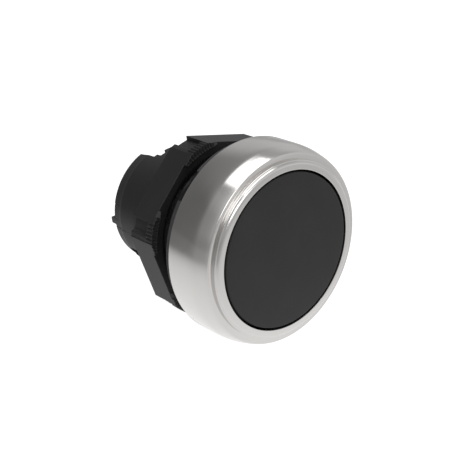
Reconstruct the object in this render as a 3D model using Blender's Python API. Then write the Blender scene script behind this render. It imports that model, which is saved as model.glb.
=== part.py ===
"""Flush panel push button head: plated bezel, threaded moulded housing, hexagon fixing nut.

The push axis is the Y axis. The button faces -Y, and the origin is the centre of the panel
hole, on the panel's front face, where the gasket seals. Lengths are in millimetres and are
scaled to metres when a mesh is written. Profiles are lists of (radius, y) points.
"""
import math

import bmesh
import bpy
from mathutils import Vector

MM = 0.001
GAP = 0.3                   # between pieces that touch

# Front end
FACE_Y = -9.8               # plane of the bezel's front land and of the flush cap
CAP_R = 11.47
OPENING_R = 11.8            # hole in the bezel that the cap moves through
LAND_R = 12.4
STEP_R = 13.1
BAND_DEPTH = 0.8            # the flat band outside the step lies this far behind the face
DOME_EDGE_R = 14.04
BEZEL_R = 14.9
BEZEL_REAR_Y = -1.47
BEZEL_BORE_R = 13.4
BEZEL_LIP_REAR_Y = -7.9

# Gasket and panel
GASKET_R = 14.2
GASKET_NOTCH_R = 12.6
GASKET_NOTCH_DEG = 18.5
GASKET_NOTCH_CENTRE_DEG = 137.0

# Housing
CUP_R = 13.1
CUP_BORE_R = 11.9
CUP_FRONT_Y = -6.6
CUP_FLOOR_Y = -2.5
SEAL_POCKET_R = 9.8
NECK_R = 10.9               # threaded part, for the 22.3 mm panel hole
NECK_REAR_Y = 11.3
BARREL_R = 9.9
BARREL_TIP_R = 9.53
BARREL_TIP_Y = 17.3
TIP_CHAMFER = 0.4
BARREL_REAR_Y = 19.3
BARREL_BORE_R = 8.8
LEDGE_FRONT_Y = 12.3
LEDGE_REAR_Y = 13.3
LEDGE_HOLE_R = 5.7
RIM_CUT_Y = 15.75           # upper part of the rear rim is cut back to here
RIM_CUT_DEG = (64.5, 115.5)
RIM_NOTCH_Y = 14.9
RIM_NOTCH_DEG = (103.0, 111.5)
LOCK_SLOT_DEG = (213.0, 224.5)
LOCK_SLOT_Y = (15.2, 17.7)
KEY_SLOT_DEG = (170.5, 192.8)
KEY_SLOT_Y = 13.6
KEY_SIDE_DEG = 1.8          # clearance angle on each side of the key
KEY_TAB_START_DEG = 185.0
KEY_TAB_REAR_Y = 20.3

# Plunger
PLATE_R = 10.9
PLATE_REAR_Y = -7.2
HUB_R = 4.6
STEM_R = 3.4
HUB_REAR_Y = -0.5
CLIP_Y = 15.5
CLIP_THICKNESS = 0.6
FOOT_REAR_Y = 19.0

# Return spring
SPRING_FRONT_Y = 0.8
SPRING_REAR_Y = 10.1
SPRING_R = 5.5
SPRING_WIRE_R = 0.375
SPRING_TURNS = 6.0

# Fixing nut
NUT_FRONT_Y = 3.25          # six raised clamping segments on the rim, one at each corner
NUT_RECESS_Y = 3.75         # rest of the front face
NUT_STEP_Y = 4.9            # the gripping pads end here
NUT_REAR_Y = 8.3
NUT_BORE_R = 11.2
NUT_CHAMFER = 0.5
NUT_APOTHEM = 13.0          # 26 mm across flats
NUT_CORNER_R = 14.1
NUT_PAD_R = 14.3
NUT_PAD_HALF_DEG = 6.0
NUT_SEGMENT_R = 12.85       # inner radius of the clamping segments
NUT_SEGMENT_HALF_DEG = 13.5
NUT_WALL = 0.1              # width that the segments' inner wall takes up
NUT_SIDE_DEG = 0.1          # width that a steep side of a pad or segment takes up
NUT_FLAT_DEG = 81.5         # direction of one flat
NUT_POCKET_R = 13.6
NUT_POCKET_DEG = (-5.6, 1.5)

OUTER_STEPS = 60
INNER_STEPS = 28

BLACK = (0.030, 0.030, 0.031, 1.0)
CHARCOAL = (0.060, 0.060, 0.062, 1.0)
SATIN = (0.62, 0.61, 0.59, 1.0)
STEEL = (0.52, 0.52, 0.53, 1.0)
IVORY = (0.70, 0.67, 0.58, 1.0)
RED_RUBBER = (0.28, 0.05, 0.04, 1.0)


def clear_scene():
    for item in list(bpy.data.objects):
        bpy.data.objects.remove(item, do_unlink=True)


def material(name, colour, roughness, metallic=0.0):
    made = bpy.data.materials.new(name)
    made.use_nodes = True
    shader = made.node_tree.nodes["Principled BSDF"]
    shader.inputs["Base Color"].default_value = colour
    shader.inputs["Roughness"].default_value = roughness
    shader.inputs["Metallic"].default_value = metallic
    return made


def polar(radius, degrees, y):
    """Point at a radius and an angle from +X towards +Z."""
    angle = math.radians(degrees)
    return Vector((radius * math.cos(angle), y, radius * math.sin(angle)))


def finish(name, bm, finish_material, sharp_deg=35.0):
    """Turn a bmesh in millimetres into a named, smooth-shaded object in metres."""
    bmesh.ops.remove_doubles(bm, verts=bm.verts, dist=0.002)
    bmesh.ops.recalc_face_normals(bm, faces=bm.faces)
    bmesh.ops.scale(bm, vec=(MM, MM, MM), verts=bm.verts)
    mesh = bpy.data.meshes.new(name)
    bm.to_mesh(mesh)
    bm.free()
    if finish_material:
        mesh.materials.append(finish_material)
    mesh.shade_smooth()
    mesh.set_sharp_from_angle(angle=math.radians(sharp_deg))
    made = bpy.data.objects.new(name, mesh)
    bpy.context.scene.collection.objects.link(made)
    return made


def spin_profile(bm, profile, steps, closed):
    """Turn a (radius, y) profile about the Y axis. An open profile starts and ends on the axis."""
    verts = [bm.verts.new((radius, y, 0.0)) for radius, y in profile]
    pairs = list(zip(verts, verts[1:]))
    if closed:
        pairs.append((verts[-1], verts[0]))
    edges = [bm.edges.new(pair) for pair in pairs]
    bmesh.ops.spin(bm, geom=verts + edges, cent=(0, 0, 0), axis=(0, 1, 0), angle=2 * math.pi,
                   steps=steps, use_merge=True)


def turned(name, profile, finish_material, steps=INNER_STEPS, closed=True):
    bm = bmesh.new()
    spin_profile(bm, profile, steps, closed)
    return finish(name, bm, finish_material)


def ring_profile(inner_r, outer_r, front_y, rear_y):
    return [(inner_r, front_y), (outer_r, front_y), (outer_r, rear_y), (inner_r, rear_y)]


def add_turned_sector(bm, profile, start_deg, end_deg, steps):
    """Turn a closed (radius, y) profile about the Y axis between two angles, with flat ends."""
    loops = []
    for index in range(steps + 1):
        angle = start_deg + (end_deg - start_deg) * index / steps
        loops.append([bm.verts.new(polar(radius, angle, y)) for radius, y in profile])
    for near, far in zip(loops, loops[1:]):
        for corner in range(len(profile)):
            after = (corner + 1) % len(profile)
            bm.faces.new((near[corner], near[after], far[after], far[corner]))
    bm.faces.new(loops[0][::-1])
    bm.faces.new(loops[-1])


def sectors_cutter(name, sectors):
    """Hidden cutter made of separate sectors."""
    bm = bmesh.new()
    for inner_r, outer_r, front_y, rear_y, start_deg, end_deg, steps in sectors:
        add_turned_sector(bm, ring_profile(inner_r, outer_r, front_y, rear_y), start_deg, end_deg, steps)
    return hidden_former(name, bm)


def hidden_former(name, bm):
    """Object that only cuts or joins, and is no piece of the button."""
    former = finish(name, bm, None)
    former.hide_render = True
    former.display_type = 'WIRE'
    return former


def combine(target, former, operation):
    boolean = target.modifiers.new(former.name, 'BOOLEAN')
    boolean.operation = operation
    boolean.solver = 'EXACT'
    boolean.object = former


def cut(target, cutter):
    combine(target, cutter, 'DIFFERENCE')


def join(target, former):
    combine(target, former, 'UNION')


def bezel_ring(plated):
    """Flat land with a rounded edge, a step down to a flat band, then a domed skirt with a straight side."""
    land_edge = [(12.75, 0.08), (12.95, 0.25), (13.05, 0.45)]
    dome = [(14.19, 0.92), (14.36, 1.33), (14.63, 2.35), (14.8, 3.15), (14.88, 4.1), (BEZEL_R, 5.3)]
    outer = [(OPENING_R, FACE_Y), (LAND_R, FACE_Y)]
    outer += [(radius, FACE_Y + depth) for radius, depth in land_edge]
    outer += [(STEP_R, FACE_Y + BAND_DEPTH), (DOME_EDGE_R, FACE_Y + BAND_DEPTH)]
    outer += [(radius, FACE_Y + depth) for radius, depth in dome]
    outer += [(BEZEL_R, BEZEL_REAR_Y)]
    inner = [(BEZEL_BORE_R, BEZEL_REAR_Y), (BEZEL_BORE_R, BEZEL_LIP_REAR_Y), (OPENING_R, BEZEL_LIP_REAR_Y)]
    return turned("bezel_ring", outer + inner, plated, OUTER_STEPS)


def bezel_seal(rubber):
    """O-ring between the bezel's bore and a groove round the housing's cup."""
    centre_r, centre_y, tube_r, sides = 12.9, -4.6, 0.3, 6
    profile = [(centre_r + tube_r * math.cos(2 * math.pi * i / sides),
                centre_y + tube_r * math.sin(2 * math.pi * i / sides)) for i in range(sides)]
    return turned("bezel_seal", profile, rubber, 40)


def housing_profile():
    outside = [(CUP_BORE_R, CUP_FRONT_Y), (CUP_R, CUP_FRONT_Y), (CUP_R, -5.2), (12.4, -5.2), (12.4, -4.0),
               (CUP_R, -4.0), (CUP_R, BEZEL_REAR_Y), (NECK_R, BEZEL_REAR_Y), (NECK_R, NECK_REAR_Y),
               (BARREL_R, NECK_REAR_Y + 0.6), (BARREL_R, BARREL_TIP_Y),
               (BARREL_TIP_R, BARREL_TIP_Y + TIP_CHAMFER),
               (BARREL_TIP_R, BARREL_REAR_Y)]
    inside = [(BARREL_BORE_R, BARREL_REAR_Y), (BARREL_BORE_R, LEDGE_REAR_Y), (LEDGE_HOLE_R, LEDGE_REAR_Y),
              (LEDGE_HOLE_R, LEDGE_FRONT_Y), (BARREL_BORE_R, LEDGE_FRONT_Y), (BARREL_BORE_R, 0.0),
              (SEAL_POCKET_R, 0.0), (SEAL_POCKET_R, CUP_FLOOR_Y), (CUP_BORE_R, CUP_FLOOR_Y)]
    return outside + inside


def actuator_housing(moulding):
    """Cup, neck and barrel in one, with a cut-back rear rim and slots for the key and a locking catch."""
    housing = turned("actuator_housing", housing_profile(), moulding, OUTER_STEPS)
    inner, outer, past_rear = BARREL_BORE_R - 0.7, BARREL_R + 0.7, BARREL_REAR_Y + 1.0
    cut(housing, sectors_cutter("rim_cutter", [
        (inner, outer, RIM_CUT_Y, past_rear, *RIM_CUT_DEG, 8),
    ]))
    cut(housing, sectors_cutter("notch_cutter", [
        (inner, outer, RIM_NOTCH_Y, past_rear, *RIM_NOTCH_DEG, 2),
    ]))
    cut(housing, sectors_cutter("key_slot_cutter", [
        (inner, outer, KEY_SLOT_Y, past_rear, *KEY_SLOT_DEG, 4),
    ]))
    cut(housing, sectors_cutter("lock_slot_cutter", [
        (inner, outer, *LOCK_SLOT_Y, *LOCK_SLOT_DEG, 3),
    ]))
    return housing


def index_key(moulding):
    """Strip let into the barrel wall, with a narrow tab past the rear rim."""
    start, end = KEY_SLOT_DEG[0] + KEY_SIDE_DEG, KEY_SLOT_DEG[1] - KEY_SIDE_DEG
    front = KEY_SLOT_Y + GAP
    strip = [(BARREL_BORE_R, front), (BARREL_R, front), (BARREL_R, BARREL_TIP_Y),
             (BARREL_TIP_R, BARREL_TIP_Y + TIP_CHAMFER), (BARREL_TIP_R, BARREL_REAR_Y),
             (BARREL_BORE_R, BARREL_REAR_Y)]
    bm = bmesh.new()
    add_turned_sector(bm, strip, start, end, 4)
    key = finish("index_key", bm, moulding)
    tab = ring_profile(BARREL_BORE_R + 0.1, BARREL_TIP_R - 0.05, BARREL_REAR_Y - 1.0, KEY_TAB_REAR_Y)
    bm = bmesh.new()
    add_turned_sector(bm, tab, KEY_TAB_START_DEG, end - 0.3, 2)
    join(key, hidden_former("key_tab_former", bm))
    return key


def panel_gasket(rubber):
    gasket = turned("panel_gasket", ring_profile(NECK_R + GAP, GASKET_R, BEZEL_REAR_Y + GAP, 0.0), rubber,
                    OUTER_STEPS)
    half = GASKET_NOTCH_DEG / 2
    notches = []
    for quarter in range(4):
        centre = GASKET_NOTCH_CENTRE_DEG + 90.0 * quarter
        notches.append((GASKET_NOTCH_R, GASKET_R + 1.0, BEZEL_REAR_Y, 1.0, centre - half, centre + half, 2))
    cut(gasket, sectors_cutter("gasket_notch_cutter", notches))
    return gasket


def wiper_ring(rubber):
    """Lip ring between the bezel's lip and the cup's rim, against the side of the cap."""
    front, rear = BEZEL_LIP_REAR_Y + GAP, CUP_FRONT_Y - GAP
    profile = [(11.72, front), (CUP_R, front), (CUP_R, rear), (12.4, rear), (12.1, front + 0.4),
               (11.72, front + 0.2)]
    return turned("wiper_ring", profile, rubber)


def diaphragm(rubber):
    """Rolling web between a bead in the housing's pocket and a bead round the plunger's hub."""
    profile = [(4.9, -5.6), (5.9, -5.6), (6.0, -5.0), (6.75, -4.1), (7.3, -2.9), (8.0, -2.0),
               (8.35, -1.6), (9.5, -1.6), (9.5, -0.3), (8.4, -0.3), (8.2, -1.1), (7.6, -1.6),
               (6.9, -2.6), (6.35, -3.8), (5.8, -4.4), (4.9, -4.4)]
    return turned("diaphragm", profile, rubber)


def button_cap(moulding):
    """Flat disc with a slightly rounded edge and a short skirt."""
    profile = [(0.0, FACE_Y), (11.07, FACE_Y), (11.35, FACE_Y + 0.12), (CAP_R, FACE_Y + 0.4), (CAP_R, -8.2),
               (10.3, -8.2), (10.3, -8.9), (0.0, -8.9)]
    return turned("button_cap", profile, moulding, OUTER_STEPS, closed=False)


def cap_carrier(moulding):
    """Plate that the cap clips on, with a raised centre and a hollow hub for the stem."""
    profile = [(0.0, -8.6), (8.7, -8.6), (8.7, -7.9), (PLATE_R, -7.9), (PLATE_R, PLATE_REAR_Y),
               (HUB_R, PLATE_REAR_Y), (HUB_R, HUB_REAR_Y), (3.0, HUB_REAR_Y), (3.0, -4.8), (0.0, -4.8)]
    return turned("cap_carrier", profile, moulding, closed=False)


def plunger_stem(moulding):
    """Spigot for the hub, guided shaft, clip groove, and spigot for the foot."""
    groove_end = CLIP_Y + CLIP_THICKNESS + GAP
    profile = [(0.0, -4.5), (2.7, -4.5), (2.7, HUB_REAR_Y + GAP), (STEM_R, HUB_REAR_Y + GAP),
               (STEM_R, CLIP_Y - GAP), (2.6, CLIP_Y - GAP), (2.6, groove_end), (3.1, groove_end),
               (3.1, 18.4), (0.0, 18.4)]
    return turned("plunger_stem", profile, moulding, closed=False)


def spring_cup(steel):
    """Pressed cup that carries the front end of the spring."""
    front = HUB_REAR_Y + GAP
    profile = [(STEM_R + GAP, front), (8.0, front), (8.0, 1.5), (7.5, 1.5), (7.5, front + 0.65),
               (STEM_R + GAP, front + 0.65)]
    return turned("spring_cup", profile, steel)


def guide_bush(moulding):
    """Flanged bush that the stem slides in, held on the housing's ledge by the spring."""
    flange_y, rear_y = LEDGE_FRONT_Y - GAP, CLIP_Y - GAP
    profile = [(STEM_R + 0.2, 11.2), (8.4, 11.2), (8.4, flange_y), (LEDGE_HOLE_R - GAP, flange_y),
               (LEDGE_HOLE_R - GAP, rear_y), (STEM_R + 0.2, rear_y)]
    return turned("guide_bush", profile, moulding)


def retaining_clip(steel):
    """Open clip in the stem's groove, which stops the plunger coming out at the front."""
    bm = bmesh.new()
    add_turned_sector(bm, ring_profile(2.85, 5.2, CLIP_Y, CLIP_Y + CLIP_THICKNESS), -50.0, 230.0, 20)
    return finish("retaining_clip", bm, steel)


def pusher_foot(moulding):
    """Bar that works the contact blocks, pressed on the stem's rear end."""
    half_length, half_width = 7.6, 2.4
    hub_r, bore_r, front_y = 4.4, 3.4, CLIP_Y + CLIP_THICKNESS + 2 * GAP
    foot = turned("pusher_foot", [(0.0, FOOT_REAR_Y - 0.3), (bore_r, FOOT_REAR_Y - 0.3), (bore_r, front_y),
                                  (hub_r, front_y), (hub_r, FOOT_REAR_Y), (0.0, FOOT_REAR_Y)],
                  moulding, closed=False)
    bm = bmesh.new()
    for side in (-1, 1):
        outline = [(side * 3.7, -half_width), (side * half_length, -half_width),
                   (side * half_length, half_width), (side * 3.7, half_width)]
        face = bm.faces.new([bm.verts.new((x, front_y + 0.6, z)) for x, z in outline])
        grown = bmesh.ops.extrude_face_region(bm, geom=[face])
        moved = [item for item in grown["geom"] if isinstance(item, bmesh.types.BMVert)]
        bmesh.ops.translate(bm, vec=(0, FOOT_REAR_Y - front_y - 0.6, 0), verts=moved)
    join(foot, hidden_former("foot_arms_former", bm))
    return foot


def spring_centre(turn, total_turns):
    """Point on the spring's centre line, with the first and last turn closed up."""
    closed_turns = 1.0
    wire = 2 * SPRING_WIRE_R * 1.08
    front, rear = SPRING_FRONT_Y + SPRING_WIRE_R, SPRING_REAR_Y - SPRING_WIRE_R
    active = total_turns - 2 * closed_turns
    pitch = (rear - front - 2 * closed_turns * wire) / active
    if turn < closed_turns:
        y = front + wire * turn
    elif turn > total_turns - closed_turns:
        y = rear - wire * (total_turns - turn)
    else:
        y = front + wire * closed_turns + pitch * (turn - closed_turns)
    return polar(SPRING_R, 360.0 * turn, y)


def return_spring(steel):
    """Compression spring, one round wire wound from the cup to the seat washer."""
    steps_per_turn, sides = 14, 6
    count = int(SPRING_TURNS * steps_per_turn)
    bm = bmesh.new()
    loops = []
    for index in range(count + 1):
        turn = index / steps_per_turn
        centre = spring_centre(turn, SPRING_TURNS)
        outward = Vector((centre.x, 0.0, centre.z)).normalized()
        loop = []
        for side in range(sides):
            angle = 2 * math.pi * side / sides
            offset = outward * math.cos(angle) + Vector((0, 1, 0)) * math.sin(angle)
            loop.append(bm.verts.new(centre + offset * SPRING_WIRE_R))
        loops.append(loop)
    for near, far in zip(loops, loops[1:]):
        for side in range(sides):
            after = (side + 1) % sides
            bm.faces.new((near[side], near[after], far[after], far[side]))
    bm.faces.new(loops[0][::-1])
    bm.faces.new(loops[-1])
    return finish("return_spring", bm, steel)


def nut_corner_angle(corner):
    return NUT_FLAT_DEG + 30.0 + 60.0 * corner


def from_nut_corner(degrees):
    """Angle from the nearest corner, from -30 to 30."""
    return (degrees - NUT_FLAT_DEG) % 60.0 - 30.0


def nut_radius(degrees, with_pads):
    """Outline of the nut: a hexagon with rounded corners, or with a gripping pad at each corner."""
    offset = abs(from_nut_corner(degrees))
    hexagon = NUT_APOTHEM / math.cos(math.radians(30.0 - offset))
    if with_pads and offset <= NUT_PAD_HALF_DEG + NUT_SIDE_DEG / 2:
        return NUT_PAD_R
    return min(hexagon, NUT_CORNER_R)


def nut_front(degrees):
    """Front face of the nut: forward at the clamping segments, and set back between them."""
    in_segment = abs(from_nut_corner(degrees)) <= NUT_SEGMENT_HALF_DEG + NUT_SIDE_DEG / 2
    return NUT_FRONT_Y if in_segment else NUT_RECESS_Y


def nut_angles():
    """Angles that catch each flat, each corner arc and both sides of each pad and segment."""
    pad, segment, side = NUT_PAD_HALF_DEG, NUT_SEGMENT_HALF_DEG, NUT_SIDE_DEG
    half = [0.0, pad / 2, pad, pad + side, segment, segment + side, 22.0]
    offsets = [-offset for offset in reversed(half[1:])] + half + [30.0]
    return [nut_corner_angle(corner) + offset for corner in range(6) for offset in offsets]


def fixing_nut(moulding):
    """Hexagon nut with pads on its front half and a spanner pocket at each rear corner."""
    angles = nut_angles()
    mouth_r = NUT_BORE_R + NUT_CHAMFER
    fronts = [nut_front(angle) for angle in angles]
    padded = [nut_radius(angle, True) for angle in angles]
    plain = [nut_radius(angle, False) for angle in angles]
    count = len(angles)
    levels = [([mouth_r] * count, [NUT_RECESS_Y] * count),
              ([NUT_SEGMENT_R - NUT_WALL] * count, [NUT_RECESS_Y] * count),
              ([NUT_SEGMENT_R] * count, fronts), (padded, fronts), (padded, [NUT_STEP_Y] * count),
              (plain, [NUT_STEP_Y] * count), (plain, [NUT_REAR_Y] * count),
              ([mouth_r] * count, [NUT_REAR_Y] * count),
              ([NUT_BORE_R] * count, [NUT_REAR_Y - NUT_CHAMFER] * count),
              ([NUT_BORE_R] * count, [NUT_RECESS_Y + NUT_CHAMFER] * count)]
    bm = bmesh.new()
    loops = []
    for radii, heights in levels:
        loops.append([bm.verts.new(polar(*point)) for point in zip(radii, angles, heights)])
    for index, near in enumerate(loops):
        far = loops[(index + 1) % len(loops)]
        for step in range(count):
            after = (step + 1) % count
            bm.faces.new((near[step], near[after], far[after], far[step]))
    nut = finish("fixing_nut", bm, moulding)
    pockets = []
    for corner in range(6):
        centre = nut_corner_angle(corner)
        pockets.append((NUT_POCKET_R, NUT_PAD_R + 1.0, NUT_STEP_Y, NUT_REAR_Y + 1.0,
                        centre + NUT_POCKET_DEG[0], centre + NUT_POCKET_DEG[1], 2))
    cut(nut, sectors_cutter("nut_pocket_cutter", pockets))
    return nut


def empty(name):
    made = bpy.data.objects.new(name, None)
    made.empty_display_size = 0.01
    bpy.context.scene.collection.objects.link(made)
    return made


def main():
    clear_scene()
    black_moulding = material("black_moulding", BLACK, 0.5)
    cap_moulding = material("cap_moulding", BLACK, 0.42)
    natural_moulding = material("natural_moulding", IVORY, 0.45)
    plated = material("satin_plated_metal", SATIN, 0.28, 1.0)
    steel = material("spring_steel", STEEL, 0.3, 1.0)
    grey_rubber = material("grey_rubber", CHARCOAL, 0.75)
    red_rubber = material("red_rubber", RED_RUBBER, 0.7)

    bezel_ring(plated)
    bezel_seal(grey_rubber)
    actuator_housing(black_moulding)
    index_key(black_moulding)
    panel_gasket(grey_rubber)
    wiper_ring(grey_rubber)
    turned("diaphragm_clamp_ring", ring_profile(8.35, 9.5, -2.9, -1.9), natural_moulding)
    diaphragm(red_rubber)
    guide_bush(natural_moulding)
    turned("spring_seat_washer", ring_profile(4.4, 8.3, SPRING_REAR_Y + GAP, 10.9), steel)

    plunger_axis = empty("plunger_axis")
    moving = [
        button_cap(cap_moulding),
        turned("cap_seal", ring_profile(9.0, 10.0, -8.6, -8.2), grey_rubber),
        cap_carrier(black_moulding),
        turned("hub_clamp_ring", ring_profile(HUB_R + GAP, 6.2, -6.9, -5.9), natural_moulding),
        plunger_stem(natural_moulding),
        spring_cup(steel),
        retaining_clip(steel),
        pusher_foot(natural_moulding),
        return_spring(steel),
    ]
    for piece in moving:
        piece.parent = plunger_axis

    nut_axis = empty("nut_axis")
    fixing_nut(black_moulding).parent = nut_axis


main()
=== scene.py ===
import math

import bmesh
import bpy
import numpy as np
from mathutils import Matrix, Vector


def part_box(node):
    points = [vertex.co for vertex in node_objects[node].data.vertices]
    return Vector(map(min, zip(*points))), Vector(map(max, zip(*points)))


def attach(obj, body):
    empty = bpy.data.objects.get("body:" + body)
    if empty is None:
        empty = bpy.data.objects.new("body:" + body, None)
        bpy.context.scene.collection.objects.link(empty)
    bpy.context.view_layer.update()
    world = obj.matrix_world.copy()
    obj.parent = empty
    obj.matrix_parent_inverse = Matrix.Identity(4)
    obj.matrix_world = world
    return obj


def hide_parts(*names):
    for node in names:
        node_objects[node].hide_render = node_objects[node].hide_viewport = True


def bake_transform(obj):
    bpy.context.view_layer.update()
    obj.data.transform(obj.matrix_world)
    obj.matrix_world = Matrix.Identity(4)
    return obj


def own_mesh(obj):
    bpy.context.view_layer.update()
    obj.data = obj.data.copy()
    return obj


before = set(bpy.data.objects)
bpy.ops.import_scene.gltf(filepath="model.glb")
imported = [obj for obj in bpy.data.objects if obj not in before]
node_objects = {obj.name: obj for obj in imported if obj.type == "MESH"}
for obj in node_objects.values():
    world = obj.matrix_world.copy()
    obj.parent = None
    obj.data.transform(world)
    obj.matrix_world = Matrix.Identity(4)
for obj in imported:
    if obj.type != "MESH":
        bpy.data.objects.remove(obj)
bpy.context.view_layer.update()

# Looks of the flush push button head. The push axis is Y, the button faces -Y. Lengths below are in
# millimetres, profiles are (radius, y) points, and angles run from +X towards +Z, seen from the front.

MM = 0.001


# ---------------------------------------------------------------- sizes, read from the frame

def node_box(name):
    low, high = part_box(name)
    return low / MM, high / MM


BEZEL_LOW, BEZEL_HIGH = node_box("bezel_ring")
FACE_Y = BEZEL_LOW.y
BEZEL_REAR_Y = BEZEL_HIGH.y
BEZEL_R = BEZEL_HIGH.x
NUT_LOW, NUT_HIGH = node_box("fixing_nut")
NUT_FRONT_Y, NUT_REAR_Y = NUT_LOW.y, NUT_HIGH.y
HOUSING_LOW, HOUSING_HIGH = node_box("actuator_housing")
HOUSING_FRONT_Y, BARREL_REAR_Y = HOUSING_LOW.y, HOUSING_HIGH.y
GASKET_LOW, GASKET_HIGH = node_box("panel_gasket")
KEY_REAR_Y = node_box("index_key")[1].y
SPRING_LOW, SPRING_HIGH = node_box("return_spring")
FOOT_LOW, FOOT_HIGH = node_box("pusher_foot")

NECK_R = 10.9
THREAD_ROOT_R = 10.15
THREAD_PITCH = 1.5
LEAD_IN_Y = 10.4            # the thread's end is chamfered from here
THREAD_FRONT_Y = 1.0
NECK_REAR_Y = 11.3
BARREL_R = 9.9
BARREL_TIP_R = 9.53
BARREL_BORE_R = 8.8
KEY_SLOT_Y = 13.6
LOCK_SLOT_DEG = (213.0, 224.5)
LOCK_SLOT_Y = (15.2, 17.7)
NUT_FLAT_DEG = 81.5


# ---------------------------------------------------------------- mesh helpers

def polar(radius, degrees, y):
    angle = math.radians(degrees)
    return (radius * math.cos(angle), y, radius * math.sin(angle))


def fillet(points, segments=4):
    """Round a closed profile: each point is (radius, y, fillet radius)."""
    rounded = []
    count = len(points)
    for index, (x, y, size) in enumerate(points):
        here = np.array((x, y), float)
        before = np.array(points[index - 1][:2], float) - here
        after = np.array(points[(index + 1) % count][:2], float) - here
        length_before, length_after = np.linalg.norm(before), np.linalg.norm(after)
        if size <= 0 or length_before < 1e-6 or length_after < 1e-6:
            rounded.append((x, y))
            continue
        before, after = before / length_before, after / length_after
        half = math.acos(max(-1.0, min(1.0, float(before @ after)))) / 2
        reach = min(size / math.tan(half), 0.49 * length_before, 0.49 * length_after)
        start, end = here + before * reach, here + after * reach
        for step in range(segments + 1):
            t = step / segments
            point = (1 - t) ** 2 * start + 2 * t * (1 - t) * here + t * t * end
            rounded.append((float(point[0]), float(point[1])))
    return rounded


def spline(points, per_span=6):
    """Catmull-Rom curve through (radius, y) points."""
    padded = [points[0]] + list(points) + [points[-1]]
    curve = []
    for a, b, c, d in zip(padded, padded[1:], padded[2:], padded[3:]):
        a, b, c, d = (np.array(p, float) for p in (a, b, c, d))
        for step in range(per_span):
            t = step / per_span
            point = 0.5 * (2 * b + (c - a) * t + (2 * a - 5 * b + 4 * c - d) * t ** 2
                           + (3 * b - a - 3 * c + d) * t ** 3)
            curve.append((float(point[0]), float(point[1])))
    curve.append(tuple(points[-1]))
    return curve


def smooth_step(value, low, high):
    t = min(1.0, max(0.0, (value - low) / (high - low)))
    return t * t * (3 - 2 * t)


def window(value, low, high, edge):
    """1 between low and high, falling to 0 over a width of edge outside them."""
    return smooth_step(value, low - edge, low) * (1 - smooth_step(value, high, high + edge))


def make_object(name, verts, faces, sharp_deg=32.0):
    mesh = bpy.data.meshes.new(name)
    mesh.from_pydata([tuple(c * MM for c in v) for v in verts], [], faces)
    mesh.validate()
    made = bpy.data.objects.new(name, mesh)
    bpy.context.scene.collection.objects.link(made)
    shade(made, sharp_deg)
    return made


def shade(made, sharp_deg=32.0):
    made.data.shade_smooth()
    made.data.set_sharp_from_angle(angle=math.radians(sharp_deg))


def loft(name, rows, closed=True, sharp_deg=32.0):
    """Skin over rows of points that run round the axis. Closed rows join last to first;
    otherwise the first and last rows are filled with a fan, for a piece that crosses the axis."""
    columns = len(rows[0])
    verts = [point for row in rows for point in row]
    faces = []
    pairs = list(zip(range(len(rows) - 1), range(1, len(rows))))
    if closed:
        pairs.append((len(rows) - 1, 0))
    for near, far in pairs:
        for step in range(columns):
            after = (step + 1) % columns
            faces.append((near * columns + step, far * columns + step,
                          far * columns + after, near * columns + after))
    if not closed:
        for row, flipped in ((0, False), (len(rows) - 1, True)):
            middle = np.mean(np.array(rows[row], float), axis=0)
            verts.append(tuple(middle))
            centre = len(verts) - 1
            for step in range(columns):
                after = (step + 1) % columns
                fan = (row * columns + step, row * columns + after, centre)
                faces.append(fan[::-1] if flipped else fan)
    return make_object(name, verts, faces, sharp_deg)


def sweep(name, sections, sharp_deg=32.0):
    """Skin over a row of equal sections, with flat ends."""
    size, last = len(sections[0]), len(sections) - 1
    faces = []
    for k in range(last):
        for step in range(size):
            after = (step + 1) % size
            faces.append((k * size + step, k * size + after, (k + 1) * size + after, (k + 1) * size + step))
    faces.append(tuple(range(size))[::-1])
    faces.append(tuple(last * size + step for step in range(size)))
    return make_object(name, [point for section in sections for point in section], faces, sharp_deg)


def turned(name, profile, steps=192, closed=True):
    """Turn a (radius, y) profile about the Y axis; an open one crosses the axis at both ends."""
    rows = [[polar(radius, 360.0 * k / steps, y) for k in range(steps)] for radius, y in profile]
    return loft(name, rows, closed)


def ring(inner_r, outer_r, front_y, rear_y, edge=0.12):
    return fillet([(inner_r, front_y, edge), (inner_r, rear_y, edge), (outer_r, rear_y, edge),
                   (outer_r, front_y, edge)])


def face_outward(made):
    """Turn a closed mesh's faces outward if they all face inward."""
    bm = bmesh.new()
    bm.from_mesh(made.data)
    if bm.calc_volume(signed=True) < 0:
        bmesh.ops.reverse_faces(bm, faces=bm.faces)
        bm.to_mesh(made.data)
    bm.free()


def settle(made, body, slot, finish, *nodes):
    """Give a piece its material, its body and the CAD nodes that it stands for."""
    face_outward(made)
    made.data.materials.clear()
    made.data.materials.append(finish)
    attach(made, body)
    if nodes:
        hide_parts(*nodes)
    return made


# ---------------------------------------------------------------- materials

def maths(tree, operation, first, second):
    node = tree.nodes.new("ShaderNodeMath")
    node.operation = operation
    for socket, value in zip(node.inputs, (first, second)):
        if isinstance(value, (int, float)):
            socket.default_value = value
        else:
            tree.links.new(value, socket)
    return node.outputs["Value"]


def remap(tree, value, low, high, new_low, new_high, smooth=False):
    node = tree.nodes.new("ShaderNodeMapRange")
    node.interpolation_type = 'SMOOTHSTEP' if smooth else 'LINEAR'
    for name, number in (("From Min", low), ("From Max", high), ("To Min", new_low), ("To Max", new_high)):
        node.inputs[name].default_value = number
    tree.links.new(value, node.inputs["Value"])
    return node.outputs["Result"]


def mix_values(tree, factor, first, second):
    node = tree.nodes.new("ShaderNodeMix")
    tree.links.new(factor, node.inputs["Factor"])
    for name, value in (("A", first), ("B", second)):
        socket = node.inputs[name]
        if isinstance(value, (int, float)):
            socket.default_value = value
        else:
            tree.links.new(value, socket)
    return node.outputs["Result"]


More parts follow.
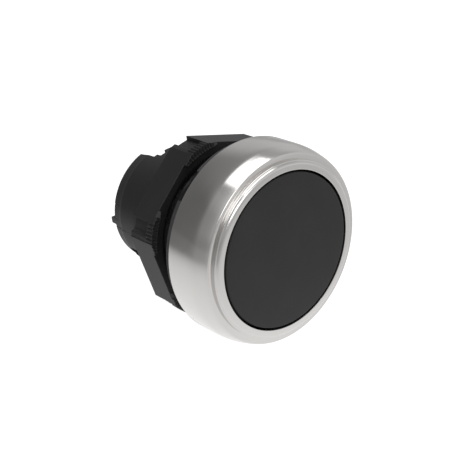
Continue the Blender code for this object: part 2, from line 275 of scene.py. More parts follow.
class Nodes:
    """Short way to write a material's node tree."""

    def __init__(self, name):
        self.material = bpy.data.materials.new(name)
        self.material.use_nodes = True
        self.tree = self.material.node_tree
        self.shader = self.tree.nodes["Principled BSDF"]
        self.place = self.add("ShaderNodeTexCoord").outputs["Object"]

    def add(self, kind, **settings):
        node = self.tree.nodes.new(kind)
        for key, value in settings.items():
            setattr(node, key, value)
        return node

    def link(self, output, socket):
        self.tree.links.new(output, socket)

    def noise(self, size_mm, detail=2.0, rough=0.5, stretch=None):
        """Noise whose features are about size_mm across."""
        place = self.place
        if stretch:
            mapping = self.add("ShaderNodeMapping")
            mapping.inputs["Scale"].default_value = stretch
            self.link(place, mapping.inputs["Vector"])
            place = mapping.outputs["Vector"]
        node = self.add("ShaderNodeTexNoise")
        node.inputs["Scale"].default_value = 1.0 / (size_mm * MM)
        node.inputs["Detail"].default_value = detail
        node.inputs["Roughness"].default_value = rough
        self.link(place, node.inputs["Vector"])
        return node.outputs["Fac"]

    def remap(self, *settings):
        return remap(self.tree, *settings)

    def maths(self, *settings):
        return maths(self.tree, *settings)

    def mix_colour(self, factor, first, second):
        node = self.add("ShaderNodeMix", data_type='RGBA')
        self.link(factor, node.inputs["Factor"])
        for name, value in (("A", first), ("B", second)):
            socket = next(s for s in node.inputs if s.name == name and s.type == 'RGBA')
            if isinstance(value, tuple):
                socket.default_value = value
            else:
                self.link(value, socket)
        return next(s for s in node.outputs if s.type == 'RGBA')

    def bump(self, height, depth_mm, under=None):
        node = self.add("ShaderNodeBump")
        node.inputs["Strength"].default_value = 1.0
        node.inputs["Distance"].default_value = depth_mm * MM
        self.link(height, node.inputs["Height"])
        if under is not None:
            self.link(under, node.inputs["Normal"])
        return node.outputs["Normal"]

    def worn_edges(self):
        """1 on convex edges, broken up by noise."""
        pointiness = self.add("ShaderNodeNewGeometry").outputs["Pointiness"]
        pointy = self.remap(pointiness, 0.53, 0.62, 0.0, 1.0)
        return self.maths('MULTIPLY', pointy, self.remap(self.noise(0.9, 3.0), 0.35, 0.65, 0.2, 1.0))


def grey(value, warm=0.0):
    return (value * (1 + warm), value, value * (1 - warm), 1.0)


def satin_metal(name):
    """Satin plated ring: fine even grain under a soft sheen, with a few faint worn patches."""
    nodes = Nodes(name)
    shader = nodes.shader
    shader.inputs["Metallic"].default_value = 1.0
    cloud = nodes.noise(7.0, 3.0)
    colour = nodes.mix_colour(nodes.remap(cloud, 0.3, 0.7, 0.0, 1.0), grey(0.65, 0.02), grey(0.67, 0.024))
    nodes.link(colour, shader.inputs["Base Color"])
    fine = nodes.noise(0.09, 2.0, 0.6)
    patch = nodes.remap(nodes.noise(2.6, 4.0, 0.6), 0.3, 0.75, -0.008, 0.012)
    rough = nodes.maths('ADD', nodes.remap(fine, 0.3, 0.7, 0.15, 0.17), patch)
    nodes.link(rough, shader.inputs["Roughness"])
    nodes.link(nodes.bump(fine, 0.0002), shader.inputs["Normal"])
    return nodes.material


def moulded(name, base, rough_low, rough_high, grain_mm=0.16, grain_depth=0.006, wear=0.3, warm=0.0,
            sheen=0.5, painted_light_from=None):
    """Injection moulded plastic: eroded-mould grain, faint flow clouds, edges a little lighter. Behind a
    given plane along Y the colour is painted lighter, broken up by noise: painted light on a part's rear end."""
    nodes = Nodes(name)
    shader = nodes.shader
    cloud = nodes.remap(nodes.noise(5.0, 3.0), 0.3, 0.7, 0.0, 1.0)
    body = nodes.mix_colour(cloud, grey(base * 0.9, warm), grey(base * 1.12, warm))
    edged = nodes.mix_colour(nodes.maths('MULTIPLY', nodes.worn_edges(), wear), body, grey(base * 2.6, warm))
    # Painted light: behind the given plane the colour is lightened, broken up by noise, standing in for light
    # from behind on the rear end.
    if painted_light_from is not None:
        split = nodes.add("ShaderNodeSeparateXYZ")
        nodes.link(nodes.place, split.inputs["Vector"])
        rear = nodes.remap(split.outputs["Y"], painted_light_from * MM, (painted_light_from + 0.5) * MM, 0.0, 1.0)
        painted_tip_light = nodes.maths('MULTIPLY', rear, nodes.remap(nodes.noise(0.7, 3.0), 0.3, 0.6, 0.5, 1.0))
        edged = nodes.mix_colour(painted_tip_light, edged, grey(base * 1.6, warm))
    nodes.link(edged, shader.inputs["Base Color"])
    grain = nodes.noise(grain_mm, 2.0, 0.55)
    nodes.link(nodes.remap(grain, 0.3, 0.7, rough_low, rough_high), shader.inputs["Roughness"])
    soft = nodes.bump(nodes.noise(1.6, 2.0), grain_depth * 0.8)
    nodes.link(nodes.bump(grain, grain_depth, under=soft), shader.inputs["Normal"])
    shader.inputs["Specular IOR Level"].default_value = sheen
    return nodes.material


def rubber(name, colour, dust=0.05):
    """Matt rubber with mould specks and a dusty bloom."""
    nodes = Nodes(name)
    shader = nodes.shader
    bloom = nodes.remap(nodes.noise(1.2, 4.0, 0.65), 0.45, 0.75, 0.0, dust)
    tint = tuple(min(1.0, c * 2.2 + 0.02) for c in colour[:3]) + (1.0,)
    nodes.link(nodes.mix_colour(bloom, colour, tint), shader.inputs["Base Color"])
    speck = nodes.noise(0.22, 3.0, 0.6)
    nodes.link(nodes.remap(speck, 0.3, 0.7, 0.62, 0.82), shader.inputs["Roughness"])
    nodes.link(nodes.bump(speck, 0.012), shader.inputs["Normal"])
    return nodes.material


def drawn_steel(name):
    """Bright drawn wire and pressed strip: fine drawing lines, spots of haze."""
    nodes = Nodes(name)
    shader = nodes.shader
    shader.inputs["Metallic"].default_value = 1.0
    haze = nodes.remap(nodes.noise(1.4, 3.0), 0.35, 0.7, 0.0, 1.0)
    nodes.link(nodes.mix_colour(haze, grey(0.56), grey(0.46, 0.02)), shader.inputs["Base Color"])
    lines = nodes.noise(0.25, 2.0, 0.6, stretch=(6.0, 0.6, 6.0))
    nodes.link(nodes.remap(lines, 0.3, 0.7, 0.2, 0.38), shader.inputs["Roughness"])
    nodes.link(nodes.bump(lines, 0.003), shader.inputs["Normal"])
    return nodes.material


bezel_metal = satin_metal("satin_bezel_metal")
cap_plastic = moulded("cap_plastic", 0.014, 0.5, 0.6, grain_mm=0.11, grain_depth=0.004, wear=0.15, sheen=0.35)
# Behind y = 17.1 mm this plastic is painted lighter: painted light on the barrel's rear end and the key's
# tab.
housing_plastic = moulded("housing_plastic", 0.015, 0.45, 0.55, wear=0.12, sheen=0.45, painted_light_from=17.1)
nut_plastic = moulded("nut_plastic", 0.0155, 0.46, 0.56, wear=0.12, sheen=0.4)
natural_plastic = moulded("natural_plastic", 0.62, 0.36, 0.46, grain_mm=0.3, grain_depth=0.003, wear=0.0,
                          warm=0.07)
gasket_rubber = rubber("gasket_rubber", grey(0.034), dust=0.3)
seal_rubber = rubber("seal_rubber", grey(0.02))
diaphragm_rubber = rubber("diaphragm_rubber", (0.28, 0.05, 0.035, 1.0), dust=0.3)
spring_steel = drawn_steel("spring_steel")


# ---------------------------------------------------------------- bezel and cap

def bezel():
    """Front land rolling over into a narrow step, then a flat band up to the edge of the domed skirt."""
    def set_back(*points):
        return [(radius, FACE_Y + depth) for radius, depth in points]

    roll = spline(set_back((12.38, 0.0), (12.55, 0.015), (12.72, 0.055), (12.87, 0.145), (12.955, 0.25),
                           (12.98, 0.31)), 3)
    crease = set_back((12.985, 0.33))
    bead = spline(set_back((13.1, 0.37), (13.145, 0.4), (13.175, 0.45), (13.187, 0.53), (13.185, 0.62),
                           (13.175, 0.72), (13.165, 0.8)), 3)
    band = set_back((13.17, 0.815), (13.46, 0.815), (13.65, 0.805), (13.86, 0.795), (13.91, 0.79))
    dome = spline(set_back((13.96, 0.775), (14.04, 0.775), (14.12, 0.82), (14.19, 0.92), (14.27, 1.08),
                           (14.36, 1.33), (14.48, 1.75), (14.63, 2.35), (14.8, 3.15), (14.88, 4.1),
                           (BEZEL_R, 5.3)), 4)
    side = [(BEZEL_R, BEZEL_REAR_Y - 0.25), (BEZEL_R - 0.03, BEZEL_REAR_Y - 0.1),
            (BEZEL_R - 0.12, BEZEL_REAR_Y - 0.01), (BEZEL_R - 0.25, BEZEL_REAR_Y)]
    inside = [(13.5, BEZEL_REAR_Y), (13.4, BEZEL_REAR_Y - 0.1), (13.4, -7.9), (11.85, -7.9), (11.8, -7.95),
              (11.81, FACE_Y + 0.1), (11.84, FACE_Y + 0.03), (11.9, FACE_Y), (11.95, FACE_Y), (12.1, FACE_Y),
              (12.32, FACE_Y)]
    return turned("bezel", inside + roll + crease + bead + band + dome + side, 256)


settle(bezel(), "housing", "bezel_metal", bezel_metal, "bezel_ring")


def cap():
    """Flat face with a soft edge; the back is hollow for its carrier."""
    edge = spline([(11.2, FACE_Y), (11.36, FACE_Y + 0.02), (11.46, FACE_Y + 0.09), (11.5, FACE_Y + 0.25)], 5)
    face = [(r, FACE_Y) for r in (0.5, 2.5, 4.5, 6.5, 8.5, 10.0)]
    back = [(11.5, -8.3), (11.4, -8.2), (10.3, -8.2), (10.3, -8.9), (0.5, -8.9)]
    return turned("cap", face + edge + back, 192, closed=False)


settle(cap(), "plunger", "cap_moulding", cap_plastic, "button_cap")


# ---------------------------------------------------------------- gasket

GASKET_NOTCH_DEG = 137.0
GASKET_NOTCH_HALF_DEG = 9.25
GASKET_NOTCH_DEPTH = 1.6


def gasket():
    """Flat ring with four shallow notches in its edge and a moulded sealing rib at the rear."""
    half, outer = GASKET_NOTCH_HALF_DEG, GASKET_HIGH.x
    angles = [360.0 * k / 720 for k in range(720)]
    front, rear = GASKET_LOW.y, GASKET_HIGH.y

    def reach(angle):
        from_notch = (angle - GASKET_NOTCH_DEG + 45.0) % 90.0 - 45.0
        return outer - GASKET_NOTCH_DEPTH * window(from_notch, -half, half, 0.5)

    rows = []
    for inset, y in ((0.16, front), (0.05, front + 0.05), (0.0, front + 0.16), (0.0, rear - 0.2),
                     (0.06, rear - 0.07), (0.2, rear - 0.02)):
        rows.append([polar(reach(a) - inset, a, y) for a in angles])
    for radius, y in ((12.8, rear - 0.02), (12.6, rear), (12.3, rear), (12.1, rear - 0.02),
                      (11.3, rear - 0.02), (11.2, rear - 0.12), (11.2, front + 0.1), (11.3, front)):
        rows.append([polar(radius, a, y) for a in angles])
    return loft("gasket", rows)


settle(gasket(), "housing", "gasket_rubber", gasket_rubber, "panel_gasket")


# ---------------------------------------------------------------- fixing nut

NUT_APOTHEM = 13.0
NUT_CORNER_R = 15.0
PAD_HALF_DEG = 6.0
PAD_R = 14.3
PAD_STEP = 0.55             # how much lower the first part of a pad is behind its ribs
RIB_PITCH_DEG = 2.15
RIB_DEPTH = 0.2
RIB_REAR_Y = 4.9
SEGMENT_HALF_DEG = 13.4
SEGMENT_R = 13.15           # inner radius of the raised clamping segments
SEGMENT_STEP = 0.5
RAMP_DEG = (-14.2, -10.8)   # leading end of a segment, bevelled towards the rim


def from_corner(angle):
    return (angle - NUT_FLAT_DEG) % 60.0 - 30.0


def hexagon(angle):
    """Hexagon with its corners cut to a circle."""
    from_flat = (angle - NUT_FLAT_DEG + 30.0) % 60.0 - 30.0
    return min(NUT_APOTHEM / math.cos(math.radians(from_flat)), NUT_CORNER_R)


def rib_wave(offset):
    return 0.5 + 0.5 * math.cos(2 * math.pi * offset / RIB_PITCH_DEG)


def nut_reach(angle, y):
    """Outside radius: each corner is a pad, ribbed at the front and plain with one step behind."""
    offset = from_corner(angle)
    pad = window(offset, -PAD_HALF_DEG, PAD_HALF_DEG, 0.3)
    rear = smooth_step(y, RIB_REAR_Y - 0.35, RIB_REAR_Y + 0.1)
    ribbed = PAD_R - RIB_DEPTH * (1 - rib_wave(offset))
    smooth = PAD_R - RIB_DEPTH - PAD_STEP * (1 - smooth_step(offset, 1.0, 3.2))
    return hexagon(angle) * (1 - pad) + pad * (ribbed * (1 - rear) + smooth * rear)


def nut_face(angle, radius):
    """How far the front face lies behind the clamping segments, which have short teeth at their rim."""
    offset = from_corner(angle)
    outside = smooth_step(radius, SEGMENT_R - 0.05, SEGMENT_R + 0.05)
    segment = window(offset, -SEGMENT_HALF_DEG, SEGMENT_HALF_DEG, 0.25) * outside
    teeth = 0.09 * rib_wave(offset + RIB_PITCH_DEG / 2) * smooth_step(radius, 13.2, 13.35)
    set_back = SEGMENT_STEP * (1 - segment) + teeth * segment
    ramp = window(offset, *RAMP_DEG, 0.25) * outside
    climb = (offset - RAMP_DEG[0]) / (RAMP_DEG[1] - RAMP_DEG[0])
    return set_back * (1 - ramp) + ramp * (0.25 - 0.23 * climb + 0.78 * (radius - SEGMENT_R))


def thread_wave(angle, y):
    """0 at a thread's crest and 1 at its root, right-handed towards the rear."""
    turn = (y / THREAD_PITCH + angle / 360.0) % 1.0
    return smooth_step(abs(turn - 0.5) * 2, 0.2, 0.8)


def nut():
    angles = [360.0 * k / 1440 for k in range(1440)]
    front, rear = NUT_FRONT_Y, NUT_REAR_Y
    rows = []
    for radius in (11.9, 12.5, 12.8, 12.9, SEGMENT_R - 0.06, SEGMENT_R + 0.06, 13.2, 13.25, 13.35, 13.6,
                   14.0):
        row = []
        for a in angles:
            inside = min(radius, nut_reach(a, front) - 0.06 - 0.01 * (14.0 - radius))
            row.append(polar(inside, a, front + nut_face(a, inside)))
        rows.append(row)
    for inset, back in ((0.05, 0.0), (0.0, 0.05)):
        row = []
        for a in angles:
            radius = nut_reach(a, front) - inset
            row.append(polar(radius, a, front + nut_face(a, radius) + back))
        rows.append(row)
    for y in (front + SEGMENT_STEP + 0.2, RIB_REAR_Y - 0.35, RIB_REAR_Y - 0.2, RIB_REAR_Y - 0.12,
              RIB_REAR_Y - 0.04, RIB_REAR_Y + 0.1, 6.6, rear - 0.1, rear):
        rows.append([polar(nut_reach(a, y), a, y) for a in angles])
    rows.append([polar(11.75, a, rear) for a in angles])
    rows.append([polar(11.6, a, rear - 0.05) for a in angles])
    first, last = rear - 0.55, front + SEGMENT_STEP + 0.6
    count = 22
    for step in range(count + 1):
        y = first + (last - first) * step / count
        rows.append([polar(11.15 - 0.75 * thread_wave(a, y), a, y) for a in angles])
    rows.append([polar(11.6, a, front + SEGMENT_STEP + 0.2) for a in angles])
    return loft("nut", rows, sharp_deg=28.0)


settle(nut(), "nut", "nut_moulding", nut_plastic, "fixing_nut")


# ---------------------------------------------------------------- housing and key

RIM_CUT_DEG, RIM_CUT_Y = (64.7, 115.3), 15.75
RIM_NOTCH_DEG, RIM_NOTCH_Y = (103.2, 111.3), 14.9
KEY_SLOT_DEG = (170.8, 192.5)
RIM_EDGE_DEG = 0.35
BARREL_STEP_Y = (16.9, 17.9)
TAPER_FRONT_Y = 17.3
LOCK_SLOT_DEPTH = 0.95
LEDGE_FRONT_Y = 12.3
KEY_DEG = (170.3, 193.0)
KEY_TAB_DEG = (185.2, 190.9)


def rim_y(angle):
    """Rear end of the barrel: cut back at the top, with a small notch, and slotted for the key."""
    angle %= 360.0
    end = BARREL_REAR_Y
    end += (RIM_CUT_Y - end) * window(angle, *RIM_CUT_DEG, RIM_EDGE_DEG)
    end += (RIM_NOTCH_Y - end) * window(angle, *RIM_NOTCH_DEG, RIM_EDGE_DEG)
    return end + (KEY_SLOT_Y - end) * window(angle, *KEY_SLOT_DEG, RIM_EDGE_DEG)


def barrel_reach(angle, y):
    """Outside radius of the rear barrel: a soft step, a slightly tapered tip, and a locking slot low down."""
    step = smooth_step(y, *BARREL_STEP_Y)
    taper = max(0.0, y - TAPER_FRONT_Y) / (BARREL_REAR_Y - TAPER_FRONT_Y)
    slot = window(angle, *LOCK_SLOT_DEG, 0.3) * window(y, *LOCK_SLOT_Y, 0.08)
    return BARREL_R - (BARREL_R - BARREL_TIP_R) * (0.5 * step + 0.5 * taper) - LOCK_SLOT_DEPTH * slot


def housing():
    angles = [360.0 * k / 960 for k in range(960)]
    rows = []

    def plain(points):
        for radius, y in points:
            rows.append([polar(radius, a, y) for a in angles])

    plain([(11.9, -2.5), (11.9, -6.5), (12.0, HOUSING_FRONT_Y), (13.0, HOUSING_FRONT_Y), (13.1, -6.5),
           (13.1, -5.2), (12.4, -5.2), (12.4, -4.0), (13.1, -4.0), (13.1, BEZEL_REAR_Y - 0.1),
           (13.0, BEZEL_REAR_Y), (NECK_R, BEZEL_REAR_Y), (NECK_R, THREAD_FRONT_Y - 0.1)])
    count = 84
    for step in range(count + 1):
        y = THREAD_FRONT_Y + (NECK_REAR_Y - THREAD_FRONT_Y) * step / count
        fade = smooth_step(y, THREAD_FRONT_Y, THREAD_FRONT_Y + 0.6)
        depth = NECK_R - THREAD_ROOT_R
        lead_in = NECK_R - max(0.0, y - LEAD_IN_Y)
        radii = [min(lead_in, NECK_R - depth * fade * (1 - thread_wave(a, y))) for a in angles]
        rows.append([polar(radius, a, y) for radius, a in zip(radii, angles)])
    plain([(BARREL_R + 0.03, NECK_REAR_Y + 0.1), (BARREL_R, NECK_REAR_Y + 0.2)])
    for share in (0.15, 0.3, 0.4, 0.414, 0.5, 0.6, 0.66, 0.68, 0.7, 0.72, 0.74, 0.757, 0.771, 0.784, 0.8,
                  0.86, 0.92, 0.96):
        row = []
        for a in angles:
            y = LEDGE_FRONT_Y + (rim_y(a) - LEDGE_FRONT_Y) * share
            row.append(polar(barrel_reach(a, y), a, y))
        rows.append(row)
    for inset, back in ((0.0, 0.12), (0.03, 0.04), (0.1, 0.0)):
        rows.append([polar(barrel_reach(a, rim_y(a)) - inset, a, rim_y(a) - back) for a in angles])
    for inset, back in ((0.1, 0.0), (0.03, 0.04), (0.0, 0.12)):
        rows.append([polar(BARREL_BORE_R + inset, a, rim_y(a) - back) for a in angles])
    plain([(BARREL_BORE_R, 13.4), (BARREL_BORE_R - 0.1, 13.3), (5.8, 13.3), (5.7, 13.2), (5.7, LEDGE_FRONT_Y),
           (BARREL_BORE_R, LEDGE_FRONT_Y), (BARREL_BORE_R, 0.0), (9.8, 0.0), (9.8, -2.5)])
    return loft("housing_shell", rows, sharp_deg=30.0)


settle(housing(), "housing", "housing_moulding", housing_plastic, "actuator_housing")


def key():
    """Strip that fills the barrel's slot, with its tab past the rear rim."""
    start, end = KEY_DEG
    front = KEY_SLOT_Y - 0.1
    steps = 66
    sections = []
    for k in range(steps + 1):
        angle = start + (end - start) * k / steps
        stop = BARREL_REAR_Y + (KEY_REAR_Y - BARREL_REAR_Y) * window(angle, *KEY_TAB_DEG, 0.25)
        if not start + 0.9 < angle < end - 0.7:
            stop -= 0.1
        section = [(BARREL_BORE_R + 0.03, front), (BARREL_R - 0.02, front)]
        section += [(barrel_reach(0.0, y) - 0.02, y) for y in (16.9, 17.1, 17.3, 17.5, 17.7, 17.9)]
        section += [(BARREL_TIP_R - 0.02, stop - 0.1), (BARREL_TIP_R - 0.1, stop),
                    (BARREL_BORE_R + 0.08, stop), (BARREL_BORE_R + 0.03, stop - 0.1)]
        sections.append([polar(radius, angle, y) for radius, y in section])
    return sweep("key", sections)


settle(key(), "housing", "housing_moulding", housing_plastic, "index_key")


# ---------------------------------------------------------------- inside, seen from the rear

settle(turned("bush", fillet([(3.6, 11.2, 0.1), (3.6, 15.2, 0.15), (5.4, 15.2, 0.2), (5.4, 12.0, 0.05),
                              (8.4, 12.0, 0.15), (8.4, 11.2, 0.15)]), 128),
       "housing", "natural_moulding", natural_plastic, "guide_bush")
settle(turned("stem", [(0.4, -4.5), (2.55, -4.5), (2.7, -4.35), (2.7, -0.2), (3.3, -0.2), (3.4, -0.1),
                       (3.4, 15.1), (3.3, 15.2), (2.6, 15.2), (2.6, 16.4), (3.0, 16.4), (3.1, 16.5),
                       (3.1, 18.25), (2.95, 18.4), (0.4, 18.4)], 96, closed=False),
       "plunger", "natural_moulding", natural_plastic, "plunger_stem")


def arc_piece(name, section, start, end, steps=64):
    """Turn a (radius, y) section between two angles, with flat ends."""
    angles = [start + (end - start) * k / steps for k in range(steps + 1)]
    return sweep(name, [[polar(radius, angle, y) for radius, y in section] for angle in angles])


settle(arc_piece("clip", ring(2.85, 5.2, 15.5, 16.1, 0.15), -50.0, 230.0),
       "plunger", "spring_steel", spring_steel, "retaining_clip")


def round_edges(made):
    """Bevel a piece's edges."""
    bevel = made.modifiers.new("bevel", 'BEVEL')
    bevel.width = 0.15 * MM
    bevel.segments = 3
    bevel.limit_method = 'ANGLE'
    bevel.angle_limit = math.radians(40)
    shade(made, 40.0)


def foot():
    """Round hub with two arms, rounded on every edge by a bevel."""
    front, rear, arm_front = FOOT_LOW.y, FOOT_HIGH.y, FOOT_LOW.y + 0.6
    hub_r, half_length, half_width = 4.4, FOOT_HIGH.x, 2.4
    meet = math.degrees(math.asin(half_width / hub_r))
    outline = []
    for side in (0.0, 180.0):
        flip = 1 if side == 0.0 else -1
        outline += [(flip * half_length, -flip * half_width), (flip * half_length, flip * half_width)]
        for k in range(25):
            angle = math.radians(side + meet + (180.0 - 2 * meet) * k / 24)
            outline.append((hub_r * math.cos(angle), hub_r * math.sin(angle)))
    around = [math.radians(4 * k) for k in range(90)]
    circle = [(hub_r * math.cos(angle), hub_r * math.sin(angle)) for angle in around]
    bm = bmesh.new()
    for shape, near, far in ((outline, arm_front, rear), (circle, front, arm_front + 0.2)):
        low = [bm.verts.new((x * MM, near * MM, z * MM)) for x, z in shape]
        base = bm.faces.new(low)
        grown = bmesh.ops.extrude_face_region(bm, geom=[base])
        moved = [v for v in grown["geom"] if isinstance(v, bmesh.types.BMVert)]
        bmesh.ops.translate(bm, vec=(0, (far - near) * MM, 0), verts=moved)
    bmesh.ops.recalc_face_normals(bm, faces=bm.faces)
    mesh = bpy.data.meshes.new("foot")
    bm.to_mesh(mesh)
    bm.free()
    made = bpy.data.objects.new("foot", mesh)
    bpy.context.scene.collection.objects.link(made)
    round_edges(made)
    return made


settle(foot(), "plunger", "natural_moulding", natural_plastic, "pusher_foot")


def coil():
    """Return spring with closed end turns, one smooth wire."""
    wire_r, radius, turns = 0.375, 5.5, 6.0
    front, rear = SPRING_LOW.y + wire_r, SPRING_HIGH.y - wire_r
    closed_pitch = 2 * wire_r * 1.08
    pitch = (rear - front - 2 * closed_pitch) / (turns - 2)
    steps, sides = 48, 14
    sections = []
    for k in range(int(turns * steps) + 1):
        turn = k / steps
        if turn < 1:
            y = front + closed_pitch * turn
        elif turn > turns - 1:
            y = rear - closed_pitch * (turns - turn)
        else:
            y = front + closed_pitch + pitch * (turn - 1)
        around = [2 * math.pi * side / sides for side in range(sides)]
        sections.append([polar(radius + wire_r * math.cos(a), 360.0 * turn, y + wire_r * math.sin(a))
                         for a in around])
    return sweep("coil", sections, 50.0)


spring = coil()
settle(spring, "housing", "spring_steel", spring_steel, "return_spring")
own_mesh(spring)


def membrane():
    """Rolling rubber web with a bead at each edge."""
    upper = spline([(6.0, -5.0), (6.75, -4.1), (7.3, -2.9), (8.0, -2.0), (8.35, -1.6)], 5)
    lower = spline([(8.2, -1.1), (7.6, -1.6), (6.9, -2.6), (6.35, -3.8), (5.8, -4.4)], 5)
    bead_out = [(8.5, -1.55), (9.35, -1.6), (9.5, -1.45), (9.5, -0.45), (9.35, -0.3), (8.55, -0.3),
                (8.4, -0.45)]
    bead_in = [(5.05, -4.4), (4.9, -4.55), (4.9, -5.45), (5.05, -5.6), (5.75, -5.6), (5.9, -5.45)]
    return turned("membrane", upper + bead_out + lower + bead_in, 128)


web = membrane()
web.data.materials.append(diaphragm_rubber)
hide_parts("diaphragm")
face_outward(web)
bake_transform(web)


# ---------------------------------------------------------------- CAD pieces that stay, all inside

KEPT = {
    "bezel_seal": seal_rubber, "wiper_ring": seal_rubber, "cap_seal": seal_rubber,
    "diaphragm_clamp_ring": natural_plastic, "hub_clamp_ring": natural_plastic,
    "cap_carrier": housing_plastic, "spring_cup": spring_steel, "spring_seat_washer": spring_steel,
}
for node_name, finish in KEPT.items():
    node_objects[node_name].data.materials.clear()
    node_objects[node_name].data.materials.append(finish)


# ---------------------------------------------------------------- camera, floor and light

CAMERA_AZIMUTH, CAMERA_ELEVATION = math.radians(-40.48), math.radians(20.44)
CAMERA_PLACE = Vector((-92.05, -103.97, 52.93)) * MM
LENS = 80.4


def add_camera():
    back = Vector((math.sin(CAMERA_AZIMUTH) * math.cos(CAMERA_ELEVATION),
                   -math.cos(CAMERA_AZIMUTH) * math.cos(CAMERA_ELEVATION), math.sin(CAMERA_ELEVATION)))
    right = Vector((math.cos(CAMERA_AZIMUTH), math.sin(CAMERA_AZIMUTH), 0.0))
    up = back.cross(right)
    data = bpy.data.cameras.new("camera")
    data.lens = LENS
    data.sensor_width = 36.0
    data.clip_start = 0.005
    camera = bpy.data.objects.new("camera", data)
    turn = Matrix((right, up, back)).transposed().to_4x4()
    camera.matrix_world = Matrix.Translation(CAMERA_PLACE) @ turn
    bpy.context.scene.collection.objects.link(camera)
    bpy.context.scene.camera = camera


# Brightness of what the part reflects, by azimuth in degrees: the far floor, then the surround low down,
# part way up and high up. A scratch program read these off the real reflections and some were changed by
# eye afterwards, so they aren't a design to copy: report.md says which rules that breaks.
FLOOR = [(-180, 0.24), (-165, 0.20), (-150, 0.18), (-130, 0.22), (-110, 0.33), (-90, 0.40), (-50, 0.46),
         (-10, 0.48), (15, 0.53), (40, 0.60), (75, 0.75), (110, 0.72), (135, 0.50), (160, 0.40), (180, 0.24)]
LOW = [(-180, 0.24), (-165, 0.20), (-150, 0.18), (-130, 0.22), (-110, 0.33), (-90, 0.40), (-50, 0.46),
       (-10, 0.50), (12, 0.68), (28, 1.10), (52, 1.10), (75, 0.80), (110, 0.74), (135, 0.50),
       (160, 0.40), (180, 0.24)]
MIDDLE = [(-180, 0.24), (-165, 0.20), (-150, 0.18), (-130, 0.20), (-110, 0.40), (-90, 0.55), (-50, 0.55),
          (-30, 0.62), (-14, 0.9), (12, 1.0), (25, 0.85), (50, 0.77), (130, 0.76), (150, 0.62), (165, 0.30),
          (180, 0.24)]
HIGH = [(-180, 0.32), (-150, 0.33), (-130, 0.44), (-110, 0.67), (-90, 0.78), (-50, 0.81), (-30, 0.95),
        (0, 1.0), (30, 0.8), (50, 0.66), (70, 0.54), (110, 0.56), (130, 0.50), (150, 0.40), (165, 0.33),
        (180, 0.32)]


def surround_level(tree, table, x, y):
    """Brightness of the surround in the direction of a horizontal vector."""
    azimuth = maths(tree, 'ARCTAN2', x, maths(tree, 'MULTIPLY', y, -1.0))
    ramp = tree.nodes.new("ShaderNodeValToRGB")
    ramp.color_ramp.interpolation = 'LINEAR'
    stops = ramp.color_ramp.elements
    for degrees, _ in table[1:-1]:
        stops.new((degrees + 180.0) / 360.0)
    for stop, (degrees, level) in zip(stops, table):
        stop.position = (degrees + 180.0) / 360.0
        stop.color = grey(level)
    tree.links.new(remap(tree, azimuth, -math.pi, math.pi, 0.0, 1.0), ramp.inputs["Fac"])
    return ramp.outputs["Color"]


def add_floor():
    """Pale floor just under the part. What the part reflects of it fades outwards into the surround."""
    half, height = 3000.0, BEZEL_LOW.z
    floor = make_object("floor", [(-half, -half, height), (half, -half, height), (half, half, height),
                                  (-half, half, height)], [(0, 1, 2, 3)])
    nodes = Nodes("floor_white")
    tree = nodes.tree
    split = nodes.add("ShaderNodeSeparateXYZ")
    nodes.link(nodes.place, split.inputs["Vector"])
    x, y = split.outputs["X"], split.outputs["Y"]
    squares = maths(tree, 'ADD', maths(tree, 'MULTIPLY', x, x), maths(tree, 'MULTIPLY', y, y))
    reach = maths(tree, 'SQRT', squares, 0.0)
    near = remap(tree, reach, 0.0, 50.0 * MM, 1.06, 0.74)
    level = mix_values(tree, remap(tree, reach, 42.0 * MM, 100.0 * MM, 0.0, 1.0, smooth=True), near,
                       surround_level(tree, FLOOR, x, y))
    glow = nodes.add("ShaderNodeEmission")
    nodes.link(level, glow.inputs["Strength"])
    nodes.shader.inputs["Base Color"].default_value = grey(0.22)
    nodes.shader.inputs["Roughness"].default_value = 0.9
    nodes.shader.inputs["Specular IOR Level"].default_value = 0.1
    nodes.shader.inputs["Emission Color"].default_value = grey(1.0)
    nodes.shader.inputs["Emission Strength"].default_value = 0.97
    mix = nodes.add("ShaderNodeMixShader")
    nodes.link(nodes.add("ShaderNodeLightPath").outputs["Is Camera Ray"], mix.inputs["Fac"])
    nodes.link(glow.outputs["Emission"], mix.inputs[1])
    nodes.link(nodes.shader.outputs["BSDF"], mix.inputs[2])
    nodes.link(mix.outputs["Shader"], tree.nodes["Material Output"].inputs["Surface"])
    floor.data.materials.append(nodes.material)


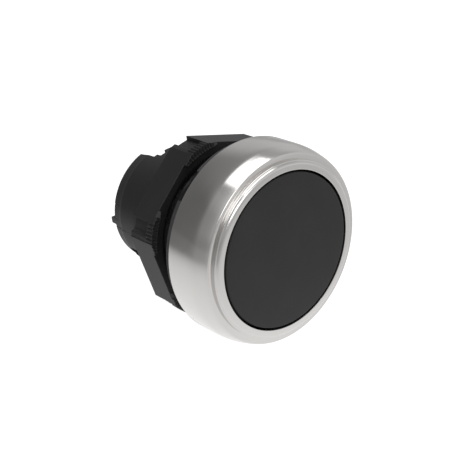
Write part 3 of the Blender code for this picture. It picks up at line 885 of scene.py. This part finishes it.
def add_softbox(name, towards, long_axis, distance, width, length, radiance):
    """Rectangular light that faces the part from a direction, its length along long_axis."""
    away = Vector(towards).normalized()
    across = Vector(long_axis).cross(away).normalized()
    turn = Matrix((across, away.cross(across), away)).transposed().to_4x4()
    data = bpy.data.lights.new(name, 'AREA')
    data.shape = 'RECTANGLE'
    data.size, data.size_y = width, length
    data.energy = radiance * width * length * math.pi
    light = bpy.data.objects.new(name, data)
    light.matrix_world = Matrix.Translation(away * distance) @ turn
    bpy.context.scene.collection.objects.link(light)


def add_world():
    """Soft surround: dim on the left and behind, brighter on the right, plain pale to the camera."""
    world = bpy.data.worlds.new("studio")
    world.use_nodes = True
    tree = world.node_tree
    tree.nodes.clear()
    split = tree.nodes.new("ShaderNodeSeparateXYZ")
    tree.links.new(tree.nodes.new("ShaderNodeTexCoord").outputs["Generated"], split.inputs["Vector"])
    low, middle, high = (surround_level(tree, table, split.outputs["X"], split.outputs["Y"])
                         for table in (LOW, MIDDLE, HIGH))
    lower = mix_values(tree, remap(tree, split.outputs["Z"], 0.08, 0.28, 0.0, 1.0, smooth=True), low, middle)
    level = mix_values(tree, remap(tree, split.outputs["Z"], 0.5, 0.8, 0.0, 1.0, smooth=True), lower, high)
    lit = tree.nodes.new("ShaderNodeBackground")
    tree.links.new(level, lit.inputs["Strength"])
    pale = tree.nodes.new("ShaderNodeBackground")
    pale.inputs["Color"].default_value = grey(1.0)
    mix = tree.nodes.new("ShaderNodeMixShader")
    tree.links.new(tree.nodes.new("ShaderNodeLightPath").outputs["Is Camera Ray"], mix.inputs["Fac"])
    tree.links.new(lit.outputs["Background"], mix.inputs[1])
    tree.links.new(pale.outputs["Background"], mix.inputs[2])
    out = tree.nodes.new("ShaderNodeOutputWorld")
    tree.links.new(mix.outputs["Shader"], out.inputs["Surface"])
    bpy.context.scene.world = world


add_camera()
add_floor()
add_world()
add_softbox("overhead_softbox", towards=(0.007, -0.038, 1.0), long_axis=(0.0, 1.0, 0.0), distance=0.8,
            width=0.66, length=0.81, radiance=2.0)
add_softbox("front_softbox", towards=(-0.32, -1.0, 0.57), long_axis=(-0.838, 0.0, 0.545), distance=0.8,
            width=0.34, length=0.86, radiance=1.6)
bpy.context.scene.view_settings.view_transform = 'Standard'
